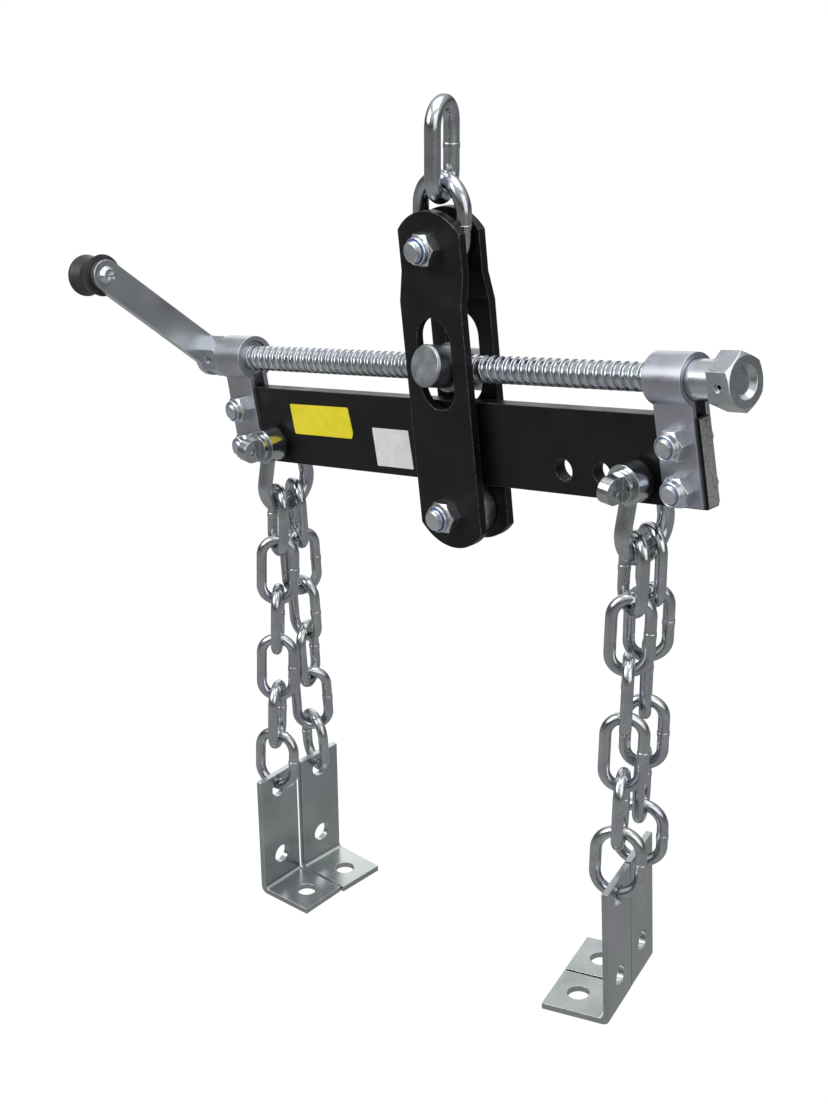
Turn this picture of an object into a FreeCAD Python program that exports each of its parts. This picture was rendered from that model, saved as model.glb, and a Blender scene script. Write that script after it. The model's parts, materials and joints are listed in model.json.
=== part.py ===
import FreeCAD, Part
import math
import os
import re
from types import SimpleNamespace

import Sketcher
from FreeCAD import Placement, Rotation, Vector

# Engine load leveler: a flat bar hangs from a two-plate hanger, a crank screw shifts the hanger
# along the bar, and four chains with angle brackets hang from shackles at the bar's ends.
# Millimetres, +Z up, origin inside the crown of the hook link. The bar lies along X, the crank end
# at -X, and the side with the nuts faces -Y. Gravity points along -Z: the bar hangs a little
# crank end down, as the crank's weight pulls it, and the chains hang from it.

X_AXIS = Vector(1, 0, 0)
Y_AXIS = Vector(0, 1, 0)
Z_AXIS = Vector(0, 0, 1)
STRAIGHT = 180
SQUARE = 90

# Driving dimensions: name, value in millimetres or degrees, meaning.
DIMENSIONS = [
    ("hook_link_wire", 9.5, "wire diameter of the link that the crane hook takes"),
    ("hook_link_inside_length", 43, "clear length inside the hook link"),
    ("hook_link_inside_width", 15.5, "clear width inside the hook link"),
    ("hook_link_yaw", 111, "direction of the hook link's plane about Z"),
    ("hanger_link_wire", 9.5, "wire diameter of the link on the top bolt"),
    ("hanger_link_inside_length", 40, "clear length inside the link on the top bolt"),
    ("hanger_link_inside_width", 25.5, "clear width inside the link on the top bolt"),
    ("link_gap", 0.42, "gap between a link and what it hangs on"),
    ("weld_proud", 0.25, "height of a link's weld bead over its wire"),
    ("weld_width", 3, "length of a link's weld bead along its wire"),
    ("hanger_tilt", 7.5, "angle by which the hanger hangs off plumb"),
    ("bar_lean", 4.5, "angle between the bar and the square of the hanger"),
    ("plate_width", 51, "width of a hanger plate"),
    ("plate_thick", 5, "thickness of a hanger plate"),
    ("plate_end_radius", 33, "radius of a plate's rounded ends"),
    ("plate_end_reach", 21, "bolt centre to the end of a plate"),
    ("plate_gap_top", 10.6, "gap between the plates at the top bolt"),
    ("plate_gap_bottom", 17.6, "gap between the plates at the bar"),
    ("joggle_start", 15, "top bolt to the start of the plates' joggle"),
    ("joggle_end", 32, "top bolt to the end of the plates' joggle"),
    ("bolt_spacing", 159, "top bolt to bottom bolt"),
    ("slot_width", 28, "width of the trunnion slot"),
    ("slot_top", 40, "top bolt to the top of the trunnion slot"),
    ("slot_bottom", 95, "top bolt to the bottom of the trunnion slot"),
    ("hanger_bolt_diameter", 12, "shank of the hanger bolts"),
    ("hanger_bolt_flats", 18, "hexagon of the hanger bolts and nuts, across flats"),
    ("hanger_bolt_head", 7.5, "height of a hanger bolt's head"),
    ("hanger_bolt_tip", 4, "length of a hanger bolt past its nut"),
    ("hanger_nut_hex", 8, "height of a hanger nut's hexagon"),
    ("hanger_nut_collar", 3, "height of a hanger nut's collar"),
    ("hanger_ring_diameter", 15, "outside of the locking ring in a hanger nut"),
    ("hanger_ring_height", 2, "height of the locking ring in a hanger nut"),
    ("bolt_clearance", 0.2, "radial clearance of a bolt in its hole"),
    ("thread_fit", 0.02, "radial clearance of a nut or ring on its bolt"),
    ("roller_radius", 17, "outside of the roller that carries the bar"),
    ("roller_gap", 0.3, "gap of the roller to the bar and to its bolt"),
    ("roller_end_play", 0.5, "gap of the roller and the trunnion to each plate"),
    ("bar_length", 405, "length of the bar"),
    ("bar_height", 50, "height of the bar"),
    ("bar_thick", 8, "thickness of the bar"),
    ("bar_corner", 2, "radius of the bar's corners"),
    ("shackle_rise", 14.3, "bar bottom to a shackle pin"),
    ("spare_pitch", 29, "step between the bar's holes for the right shackle"),
    ("spare_count", 2, "free holes beside the right shackle"),
    ("bar_hole_diameter", 13, "shackle holes in the bar"),
    ("nut_place", 17, "bar middle to the trunnion nut"),
    ("screw_rise", 69, "bar bottom to the screw axis"),
    ("screw_diameter", 16, "outside of the crank screw's thread"),
    ("screw_lead", 6.3, "travel of the trunnion per turn of the screw"),
    ("thread_depth", 1.6, "depth of the crank screw's thread"),
    ("screw_end_diameter", 13, "plain ends of the crank screw"),
    ("trunnion_diameter", 25, "trunnion pins of the nut on the screw"),
    ("trunnion_length", 46, "trunnion nut from end to end"),
    ("trunnion_barrel", 29, "diameter of the trunnion nut between the plates"),
    ("trunnion_roll", 16, "angle by which the trunnion is rolled about the screw"),
    ("trunnion_chamfer", 1, "chamfer of the trunnion's ends"),
    ("screw_clearance", 0.35, "radial clearance of the screw in the trunnion nut"),
    ("strap_end_gap", 2, "edge of an end strap to the end of the bar"),
    ("strap_width", 26, "width of an end strap along the bar"),
    ("strap_thick", 3, "thickness of an end strap"),
    ("strap_inset", 1.5, "bar bottom to the ends of a strap"),
    ("strap_bolt_low", 11, "bar bottom to the lower strap bolt"),
    ("strap_bolt_high", 36, "bar bottom to the upper strap bolt"),
    ("strap_bolt_diameter", 10, "shank of the strap bolts"),
    ("strap_bolt_flats", 16, "hexagon of the strap bolts and nuts, across flats"),
    ("strap_bolt_head", 6.4, "height of a strap bolt's head"),
    ("strap_bolt_tip", 2, "length of a strap bolt past its nut"),
    ("strap_nut_hex", 7, "height of a strap nut's hexagon"),
    ("strap_nut_collar", 3, "height of a strap nut's collar"),
    ("strap_ring_diameter", 12.6, "outside of the locking ring in a strap nut"),
    ("strap_ring_height", 2, "height of the locking ring in a strap nut"),
    ("sleeve_diameter", 22, "outside of the sleeves that turn in the straps"),
    ("sleeve_fit", 0.3, "radial clearance of a sleeve in its strap"),
    ("sleeve_bore_fit", 0.02, "radial clearance of sleeves and collars on the screw"),
    ("sleeve_inset", 2, "how far a sleeve stays inside a strap's inner edge"),
    ("sleeve_overhang", 17, "how far the free end's sleeve stands out of its strap"),
    ("side_play", 0.4, "gap beside the straps, the washer and the free end's collar"),
    ("washer_diameter", 27, "outside of the thrust washer"),
    ("washer_thick", 2, "thickness of the thrust washer"),
    ("crank_collar_flats", 24, "hexagon of the crank collar, across flats"),
    ("crank_collar_length", 16, "length of the crank collar"),
    ("end_collar_flats", 28, "hexagon of the free end's collar, across flats"),
    ("end_collar_length", 14, "length of the free end's collar"),
    ("end_countersink", 18, "outside of the countersink in the free end's collar"),
    ("end_countersink_depth", 3, "depth of the countersink in the free end's collar"),
    ("roll_pin_diameter", 5, "roll pins through the collars"),
    ("roll_pin_bore", 2.6, "bore of the roll pins"),
    ("roll_pin_inset", 1, "how far a roll pin stays under its flat"),
    ("crank_radius", 100, "screw axis to the knob axis"),
    ("crank_angle", 44, "angle of the crank arm, from the front towards the top"),
    ("crank_width", 20, "width of the crank arm"),
    ("crank_hub_width", 26, "width of the crank arm at the screw"),
    ("crank_thick", 5, "thickness of the crank arm"),
    ("knob_diameter", 27, "knob at its rims"),
    ("knob_waist", 22, "knob at its waist"),
    ("knob_length", 23, "length of the knob"),
    ("knob_round", 4, "rounding of the knob's outer end"),
    ("knob_gap", 0.5, "gap between the knob and the crank arm"),
    ("knob_fit", 0.1, "radial clearance of the knob on its screw"),
    ("knob_screw_diameter", 6, "shank of the knob screw"),
    ("knob_head_diameter", 12, "head of the knob screw"),
    ("knob_head_height", 3.4, "height of the knob screw's head"),
    ("knob_screw_bite", 17, "length of the knob screw inside the knob"),
    ("cross_width", 1.6, "slots of the cross recess in the knob screw"),
    ("cross_length", 6.6, "length of the cross recess in the knob screw"),
    ("cross_depth", 1.6, "depth of the cross recess in the knob screw"),
    ("shackle_gap", 5, "edge of an end strap to a shackle's eyes, along the bar"),
    ("shackle_wire", 9.7, "bow wire of the shackles"),
    ("shackle_jaw", 15.6, "clear width between a shackle's eyes"),
    ("shackle_inside", 42.3, "pin axis to the inside of a shackle's bow"),
    ("shackle_bow_width", 26, "clear width inside a shackle's bow"),
    ("shackle_eye_diameter", 23, "outside of a shackle's eyes"),
    ("shackle_eye_thick", 11.7, "thickness of a shackle's eyes"),
    ("shackle_pin_diameter", 11.2, "shackle pins"),
    ("shackle_pin_fit", 0.2, "radial clearance of a pin in its shackle"),
    ("pin_collar_diameter", 18, "collar of a shackle pin"),
    ("pin_collar_thick", 4, "thickness of a shackle pin's collar"),
    ("pin_tab_length", 13, "length of a shackle pin's tab"),
    ("pin_tab_width", 15, "width of a shackle pin's tab"),
    ("pin_tab_thick", 7, "thickness of a shackle pin's tab"),
    ("pin_tab_hole", 4.5, "hole in a shackle pin's tab"),
    ("pin_tail", 1.5, "how far a shackle pin stands out at the back"),
    ("chain_wire", 7, "wire diameter of the chain links"),
    ("chain_inside_length", 37, "clear length inside a chain link"),
    ("chain_inside_width", 15, "clear width inside a chain link"),
    ("end_link_inside_length", 34, "clear length inside an end link"),
    ("end_link_inside_width", 20, "clear width inside an end link"),
    ("chain_offset", 7.2, "bar's mid-plane to the first link of a chain"),
    ("first_link_rise", 3.4, "how far a first link rides up on the bow that it crosses askew"),
    ("left_splay", 3.2, "angle by which each left chain spreads from plumb"),
    ("left_splay_yaw", 4, "direction of the axis about which the left chains spread"),
    ("left_bracket_lean", 0, "angle by which the left brackets lean away from their feet"),
    ("right_splay", 3.18, "angle by which each right chain spreads from plumb"),
    ("right_splay_yaw", 32, "direction of the axis about which the right chains spread"),
    ("right_bracket_lean", 3, "angle by which the right brackets lean away from their feet"),
    ("bracket_width", 36, "width of an angle bracket"),
    ("bracket_thick", 4, "thickness of an angle bracket"),
    ("bracket_leg", 92, "long leg of an angle bracket, outside"),
    ("bracket_foot", 44, "short leg of an angle bracket, outside"),
    ("bracket_bend", 3, "inside radius of an angle bracket's bend"),
    ("bracket_hole", 13.5, "holes in an angle bracket"),
    ("bracket_gap", 1.1, "gap between an end link and its bracket"),
    ("bracket_top_edge", 11.5, "top of an angle bracket to its chain hole"),
    ("bracket_leg_hole", 25, "outside of the foot to the hole in the long leg"),
    ("bracket_foot_hole", 27.5, "outside of the leg to the hole in the foot"),
    ("overrun", 1, "how far cuts run past the faces that they open"),
]

# Sizes that follow others: name, formula, meaning.
FOLLOWING = [
    ("strap_reach", "bar_length / 2 - strap_end_gap - strap_width / 2", "bar middle to a strap's middle"),
    ("shackle_reach", "strap_reach - strap_width / 2 - shackle_gap - shackle_eye_diameter / 2",
     "bar middle to a shackle pin"),
]

# Yaw of each link's plane about Z, from the shackle down, and of the bracket below them.
CHAINS = {
    "left_front": ([160, 48, 134, 42, 125, 20], 7),
    "left_rear": ([160, 72, 4, 117, 51, 166], 4),
    "right_front": ([158, 46, 130, 38, 122, 28], 200),
    "right_rear": ([158, 46, 128, 36, 120, 28], 200),
}
LINKS_PER_CHAIN = 6

# Shares of the sizes that they follow.
NUT_CHAMFER_SHARE = 0.96
NUT_COLLAR_SHARE = 0.93
GROOVE_MOUTH_SHARE = 0.62
GROOVE_FLOOR_SHARE = 0.34
KNOB_WAIST_SHARE = 0.45

doc = FreeCAD.newDocument("load_leveler")
sheet = doc.addObject("Spreadsheet::Sheet", "Dims")
for row, (alias, number, meaning) in enumerate(DIMENSIONS, start=1):
    sheet.set(f"A{row}", meaning)
    sheet.set(f"B{row}", str(number))
    sheet.setAlias(f"B{row}", alias)
for row, (alias, formula, meaning) in enumerate(FOLLOWING, start=len(DIMENSIONS) + 1):
    sheet.set(f"A{row}", meaning)
    sheet.set(f"B{row}", f"={formula}")
    sheet.setAlias(f"B{row}", alias)
doc.recompute()

ALIASES = {alias for alias, content, meaning in DIMENSIONS + FOLLOWING}
size = SimpleNamespace(**{alias: float(sheet.get(alias)) for alias in ALIASES})


def cells(formula):
    """A formula in dimension names, as an expression on the sheet's cells."""
    def cell(match):
        word = match.group(0)
        return f"Dims.{word}" if word in ALIASES else word
    return re.sub(r"[a-z_]+", cell, formula)


def bind(item, **sizes):
    """Tie an object's sizes to the sheet."""
    for prop, formula in sizes.items():
        item.setExpression(prop, cells(formula))
    return item


def put(item, at, turn=None):
    """Turn an object about its own origin and tie its place to the sheet."""
    item.Placement = Placement(Vector(), turn or Rotation())
    for axis, formula in zip("xyz", at):
        item.setExpression(f"Placement.Base.{axis}", cells(formula))
    return item


ORIGIN = ("0", "0", "0")
ALONG = {
    "+x": Rotation(Y_AXIS, SQUARE),
    "-x": Rotation(Y_AXIS, -SQUARE),
    "+y": Rotation(X_AXIS, -SQUARE),
    "-y": Rotation(X_AXIS, SQUARE),
    "+z": Rotation(),
    "-z": Rotation(X_AXIS, STRAIGHT),
}


def block(name, length, width, height, at):
    item = doc.addObject("Part::Box", name)
    bind(item, Length=length, Width=width, Height=height)
    return put(item, at)


def rod(name, radius, length, at, along="+z"):
    item = doc.addObject("Part::Cylinder", name)
    bind(item, Radius=radius, Height=length)
    return put(item, at, ALONG[along])


def cone(name, radius_start, radius_end, length, at, along="+z"):
    item = doc.addObject("Part::Cone", name)
    bind(item, Radius1=radius_start, Radius2=radius_end, Height=length)
    return put(item, at, ALONG[along])


def hexagon(name, flats, length, at, along="+z"):
    item = doc.addObject("Part::Prism", name)
    item.Polygon = 6
    bind(item, Circumradius=f"({flats}) / sqrt(3)", Height=length)
    return put(item, at, ALONG[along])


def fuse(name, *items):
    item = doc.addObject("Part::MultiFuse", name)
    item.Shapes = list(items)
    item.Refine = True
    return item


def cut(name, base, *tools):
    item = doc.addObject("Part::Cut", name)
    item.Base = base
    item.Tool = tools[0] if len(tools) == 1 else fuse(f"{name}_tools", *tools)
    item.Refine = True
    return item


def common(name, first, second):
    item = doc.addObject("Part::MultiCommon", name)
    item.Shapes = [first, second]
    item.Refine = True
    return item


def group(name, items):
    item = doc.addObject("Part::Compound", name)
    item.Links = list(items)
    return item


nodes = {}


def node(label, item, frame):
    """Name a finished sub-part and set it in its frame."""
    item.Label = label
    item.Placement = frame.multiply(item.Placement)
    nodes[label] = item
    return item


places = {}


def mark(name, frame, axis):
    """Note where a piece turns, slides or takes a bolt, for the list that is printed."""
    places[name] = (frame.Base, frame.Rotation.multVec(axis))


def moved(x=0, y=0, z=0):
    return Placement(Vector(x, y, z), Rotation())


def turned(axis, angle):
    return Placement(Vector(), Rotation(axis, angle))


# Places, worked out from the top down.

hanger_crown = -size.hook_link_inside_length + size.link_gap
top_bolt_height = (
    hanger_crown - size.hanger_link_inside_length + size.link_gap + size.hanger_bolt_diameter / 2
)
hanger_frame = moved(z=top_bolt_height).multiply(turned(Y_AXIS, -size.hanger_tilt))

# The bar rests on the roller, so it turns about the bottom bolt. The trunnion stays on the line
# between the two bolts.
bar_seat = size.roller_radius + size.roller_gap
screw_over_bolt = bar_seat + size.screw_rise
trunnion_shift = screw_over_bolt * math.tan(math.radians(size.bar_lean))
bar_frame = (
    hanger_frame
    .multiply(moved(z=-size.bolt_spacing))
    .multiply(turned(Y_AXIS, -size.bar_lean))
    .multiply(moved(x=trunnion_shift - size.nut_place, z=bar_seat))
)
screw_frame = bar_frame.multiply(moved(z=size.screw_rise))


def wire_link(name, wire, inside_length, inside_width):
    """A welded link in the XZ plane: two half rings, two legs and a weld bead on one leg."""
    leg_place = f"({inside_width} + {wire}) / 2"
    leg_length = f"({inside_length} - {inside_width})"
    parts = []
    for end, way in (("top", 1), ("bottom", -1)):
        ring = doc.addObject("Part::Torus", f"{name}_{end}")
        ring.Angle3 = STRAIGHT
        bind(ring, Radius1=leg_place, Radius2=f"{wire} / 2")
        parts.append(put(ring, ("0", "0", f"{way} * {leg_length} / 2"), Rotation(X_AXIS, way * SQUARE)))
    for side, way in (("left", -1), ("right", 1)):
        parts.append(rod(f"{name}_{side}", f"{wire} / 2", leg_length,
                         (f"{way} * {leg_place}", "0", f"-{leg_length} / 2")))
    parts.append(rod(f"{name}_weld", f"{wire} / 2 + weld_proud", "weld_width",
                     (leg_place, "0", "-weld_width / 2")))
    return fuse(name, *parts)


def lifting_links():
    """The link for the crane hook and the wider link on the hanger's top bolt."""
    hook = wire_link("hook_link", "hook_link_wire", "hook_link_inside_length", "hook_link_inside_width")
    node("hook_link", hook,
         moved(z=-size.hook_link_inside_length / 2).multiply(turned(Z_AXIS, size.hook_link_yaw)))
    lower = wire_link("hanger_link", "hanger_link_wire", "hanger_link_inside_length",
                      "hanger_link_inside_width")
    node("hanger_link", lower, moved(z=hanger_crown - size.hanger_link_inside_length / 2))


def hanger_plate(name, side):
    """A joggled plate: side is -1 for the front one and 1 for the rear one."""
    inner_top = f"{side} * plate_gap_top / 2" if side > 0 else "-plate_gap_top / 2 - plate_thick"
    inner_bottom = f"{side} * plate_gap_bottom / 2" if side > 0 else "-plate_gap_bottom / 2 - plate_thick"
    left = "-plate_width / 2"
    upper = block(f"{name}_upper", "plate_width", "plate_thick", "plate_end_reach + joggle_start",
                  (left, inner_top, "-joggle_start"))
    lower = block(f"{name}_lower", "plate_width", "plate_thick",
                  "bolt_spacing + plate_end_reach - joggle_end",
                  (left, inner_bottom, "-bolt_spacing - plate_end_reach"))
    section = doc.addObject("Part::Plane", f"{name}_section")
    bind(section, Length="plate_width", Width="plate_thick")
    put(section, (left, inner_top, "-joggle_start"))
    joggle = doc.addObject("Part::Extrusion", f"{name}_joggle")
    joggle.Base = section
    joggle.DirMode = "Custom"
    joggle.Solid = True
    joggle.setExpression("Dir.x", "0")
    joggle.setExpression("Dir.y", cells(f"{side} * (plate_gap_bottom - plate_gap_top) / 2"))
    joggle.setExpression("Dir.z", cells("joggle_start - joggle_end"))
    strip = fuse(f"{name}_strip", upper, joggle, lower)

    # Both ends are arcs about points on the plate's middle line, so the corners stay.
    deep = "plate_gap_bottom + 4 * plate_thick"
    back = f"-({deep}) / 2"
    end_middle = "plate_end_reach - plate_end_radius"
    top_round = rod(f"{name}_top_round", "plate_end_radius", deep, ("0", back, end_middle), "+y")
    bottom_round = rod(f"{name}_bottom_round", "plate_end_radius", deep,
                       ("0", back, f"-bolt_spacing - ({end_middle})"), "+y")
    middle = block(f"{name}_middle", "plate_width", deep, f"bolt_spacing + 2 * ({end_middle})",
                   (left, back, f"-bolt_spacing - ({end_middle})"))
    outline = fuse(f"{name}_outline", top_round, bottom_round, middle)
    rounded = common(f"{name}_rounded", strip, outline)

    holes = [
        rod(f"{name}_top_hole", "hanger_bolt_diameter / 2 + bolt_clearance", deep, ("0", back, "0"), "+y"),
        rod(f"{name}_bottom_hole", "hanger_bolt_diameter / 2 + bolt_clearance", deep,
            ("0", back, "-bolt_spacing"), "+y"),
        rod(f"{name}_slot_top", "slot_width / 2", deep, ("0", back, "-slot_top - slot_width / 2"), "+y"),
        rod(f"{name}_slot_bottom", "slot_width / 2", deep, ("0", back, "-slot_bottom + slot_width / 2"),
            "+y"),
        block(f"{name}_slot", "slot_width", deep, "slot_bottom - slot_top - slot_width",
              ("-slot_width / 2", back, "-slot_bottom + slot_width / 2")),
    ]
    node(name, cut(name, rounded, *holes), hanger_frame)


def chamfered_hexagon(name, flats, length):
    """A hexagon along +Z from the origin whose far corners are turned down."""
    rim = f"({flats}) / 2 * {NUT_CHAMFER_SHARE}"
    limit = cone(f"{name}_limit", f"{rim} + ({length}) * sqrt(3)", rim, length, ORIGIN)
    return common(name, hexagon(f"{name}_blank", flats, length, ORIGIN), limit)


def bolt(name, prefix, grip):
    """A hexagon bolt along -Y: its head's seat is at the origin, the grip is what it clamps."""
    reach = f"{grip} + {prefix}_nut_hex + {prefix}_nut_collar + {prefix}_bolt_tip"
    head = chamfered_hexagon(f"{name}_head", f"{prefix}_bolt_flats", f"{prefix}_bolt_head")
    head.Placement = Placement(Vector(), ALONG["+y"])
    tip = "thread_depth / 2"
    shank = rod(f"{name}_shank", f"{prefix}_bolt_diameter / 2", f"{reach} - {tip}", ORIGIN, "-y")
    point = cone(f"{name}_point", f"{prefix}_bolt_diameter / 2", f"{prefix}_bolt_diameter / 2 - {tip}",
                 tip, ("0", f"-({reach} - {tip})", "0"), "-y")
    return fuse(name, head, shank, point)


def locking_nut(name, prefix):
    """A nut along -Y with its seat at the origin, and the locking ring in its collar."""
    bore = f"{prefix}_bolt_diameter / 2 + thread_fit"
    full = f"{prefix}_nut_hex + {prefix}_nut_collar"
    body = chamfered_hexagon(f"{name}_hex", f"{prefix}_bolt_flats", f"{prefix}_nut_hex")
    collar_radius = f"{prefix}_bolt_flats / 2 * {NUT_COLLAR_SHARE}"
    rounding = f"({collar_radius} - {prefix}_ring_diameter / 2) / 2"
    collar = cone(f"{name}_collar", collar_radius, f"{collar_radius} - {rounding}",
                  f"{prefix}_nut_collar", ("0", "0", f"{prefix}_nut_hex"))
    hole = rod(f"{name}_hole", bore, f"{full} + 2 * overrun", ("0", "0", "-overrun"))
    recess = rod(f"{name}_recess", f"{prefix}_ring_diameter / 2", f"{prefix}_ring_height + overrun",
                 ("0", "0", f"{full} - {prefix}_ring_height"))
    nut = cut(name, fuse(f"{name}_blank", body, collar), hole, recess)
    ring_blank = rod(f"{name}_ring_blank", f"{prefix}_ring_diameter / 2", f"{prefix}_ring_height",
                     ("0", "0", f"{full} - {prefix}_ring_height"))
    ring_hole = rod(f"{name}_ring_hole", bore, f"{prefix}_ring_height + 2 * overrun",
                    ("0", "0", f"{full} - {prefix}_ring_height - overrun"))
    ring = cut(f"{name}_ring", ring_blank, ring_hole)
    return nut, ring


def hanger_fasteners():
    """The bolts at the top and bottom of the hanger, with their nuts in front."""
    bolts, nuts, rings = [], [], []
    for place, gap, height in (
        ("top", "plate_gap_top", "0"),
        ("bottom", "plate_gap_bottom", "-bolt_spacing"),
    ):
        grip = f"({gap} + 2 * plate_thick)"
        item = bolt(f"hanger_bolt_{place}", "hanger", grip)
        bolts.append(put(item, ("0", f"{grip} / 2", height)))
        nut, ring = locking_nut(f"hanger_nut_{place}", "hanger")
        nuts.append(put(nut, ("0", f"-{grip} / 2", height), ALONG["-y"]))
        rings.append(put(ring, ("0", f"-{grip} / 2", height), ALONG["-y"]))
    node("hanger_bolts", group("hanger_bolts", bolts), hanger_frame)
    node("hanger_nuts", group("hanger_nuts", nuts), hanger_frame)
    node("hanger_nut_rings", group("hanger_nut_rings", rings), hanger_frame)


def roller():
    """The roller on the bottom bolt."""
    length = "(plate_gap_bottom - 2 * roller_end_play)"
    blank = rod("roller_blank", "roller_radius", length, ("0", f"-{length} / 2", "0"), "+y")
    bore = rod("roller_bore", "hanger_bolt_diameter / 2 + roller_gap", f"{length} + 2 * overrun",
               ("0", f"-{length} / 2 - overrun", "0"), "+y")
    node("roller", cut("roller", blank, bore), hanger_frame.multiply(moved(z=-size.bolt_spacing)))


def trunnion_nut():
    """The nut on the screw: two trunnion pins in the plates' slots, a barrel between the plates."""
    half = "trunnion_length / 2"
    straight = "trunnion_length - 2 * trunnion_chamfer"
    pin = rod("trunnion_pin", "trunnion_diameter / 2", straight, ("0", f"-({straight}) / 2", "0"), "+y")
    tips = [
        cone(f"trunnion_tip_{end}", "trunnion_diameter / 2", "trunnion_diameter / 2 - trunnion_chamfer",
             "trunnion_chamfer", ("0", f"{way} * ({half} - trunnion_chamfer)", "0"), along)
        for end, way, along in (("front", -1, "-y"), ("rear", 1, "+y"))
    ]
    # The rolled barrel's corners still clear the plates.
    barrel_length = "(plate_gap_bottom - 2 * roller_end_play) * cos(trunnion_roll) - trunnion_barrel * " \
                    "sin(trunnion_roll)"
    barrel = rod("trunnion_body", "trunnion_barrel / 2", barrel_length,
                 ("0", f"-({barrel_length}) / 2", "0"), "+y")
    bore_length = "trunnion_barrel + 2 * overrun"
    bore = rod("trunnion_bore", "screw_diameter / 2 + screw_clearance", bore_length,
               (f"-({bore_length}) / 2", "0", "0"), "+x")
    item = cut("trunnion_nut", fuse("trunnion_blank", pin, barrel, *tips), bore)
    node("trunnion_nut", item,
         screw_frame.multiply(moved(x=size.nut_place)).multiply(turned(X_AXIS, -size.trunnion_roll)))


def body_sketch(body, name, plane_role):
    """A sketch on one of its body's own origin planes."""
    sketch = body.newObject("Sketcher::SketchObject", name)
    plane = next(item for item in body.Origin.OriginFeatures if item.Role == plane_role)
    sketch.AttachmentSupport = [(plane, "")]
    sketch.MapMode = "FlatFace"
    return sketch


def limit(sketch, kind, formula, *where):
    """A driving constraint tied to the sheet."""
    index = sketch.addConstraint(Sketcher.Constraint(kind, *where, float(1)))
    sketch.setExpression(f"Constraints[{index}]", cells(formula))


def sketch_rectangle(sketch, left, bottom, right, top):
    """A rectangle whose corners are given as formulas."""
    corners = [Vector(0, 0, 0), Vector(1, 0, 0), Vector(1, 1, 0), Vector(0, 1, 0)]
    edges = [
        sketch.addGeometry(Part.LineSegment(start, end), False)
        for start, end in zip(corners, corners[1:] + corners[:1])
    ]
    for edge, following in zip(edges, edges[1:] + edges[:1]):
        sketch.addConstraint(Sketcher.Constraint("Coincident", edge, 2, following, 1))
    for edge, kind in zip(edges, ("Horizontal", "Vertical", "Horizontal", "Vertical")):
        sketch.addConstraint(Sketcher.Constraint(kind, edge))
    for edge, x_formula, y_formula in ((edges[0], left, bottom), (edges[2], right, top)):
        limit(sketch, "DistanceX", x_formula, edge, 1)
        limit(sketch, "DistanceY", y_formula, edge, 1)


def sketch_circle(sketch, x_formula, y_formula, radius):
    circle = sketch.addGeometry(Part.Circle(Vector(1, 1, 0), Z_AXIS, 1), False)
    limit(sketch, "DistanceX", x_formula, circle, 3)
    limit(sketch, "DistanceY", y_formula, circle, 3)
    limit(sketch, "Radius", radius, circle)


def pad(body, sketch, length):
    """A pad to both sides of its sketch."""
    item = body.newObject("PartDesign::Pad", f"{sketch.Name}_pad")
    item.Profile = sketch
    item.SideType = "Symmetric"
    item.setExpression("Length", cells(length))
    body.Tip = item
    return item


def drill(body, sketch):
    """A cut through everything on both sides of its sketch."""
    item = body.newObject("PartDesign::Pocket", f"{sketch.Name}_pocket")
    item.Profile = sketch
    item.Type = "ThroughAll"
    item.SideType = "Symmetric"
    body.Tip = item
    return item


def main_bar():
    """The flat bar with its holes for the strap bolts and shackle pins."""
    body = doc.addObject("PartDesign::Body", "main_bar")
    outline = body_sketch(body, "bar_outline", "XZ_Plane")
    sketch_rectangle(outline, "-bar_length / 2", "0", "bar_length / 2", "bar_height")
    blank = pad(body, outline, "bar_thick")
    doc.recompute()
    corners = [
        f"Edge{number}" for number, edge in enumerate(blank.Shape.Edges, start=1)
        if abs(edge.tangentAt(edge.FirstParameter).dot(Y_AXIS)) > 0.5
    ]
    rounded = body.newObject("PartDesign::Fillet", "bar_corners")
    rounded.Base = (blank, corners)
    rounded.setExpression("Radius", cells("bar_corner"))
    body.Tip = rounded
    doc.recompute()
    holes = body_sketch(body, "bar_holes", "XZ_Plane")
    for way in (-1, 1):
        for height in ("strap_bolt_low", "strap_bolt_high"):
            sketch_circle(holes, f"{way} * strap_reach", height, "strap_bolt_diameter / 2 + bolt_clearance")
        sketch_circle(holes, f"{way} * shackle_reach", "shackle_rise", "bar_hole_diameter / 2")
    for step in range(1, int(size.spare_count) + 1):
        spare_place = moved(x=size.shackle_reach - step * size.spare_pitch, z=size.shackle_rise)
        mark(f"spare_hole_{step}", bar_frame.multiply(spare_place), Y_AXIS)
        spare_reach = f"shackle_reach - {step} * spare_pitch"
        sketch_circle(holes, spare_reach, "shackle_rise", "bar_hole_diameter / 2")
    drill(body, holes)
    node("main_bar", body, bar_frame)


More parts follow.
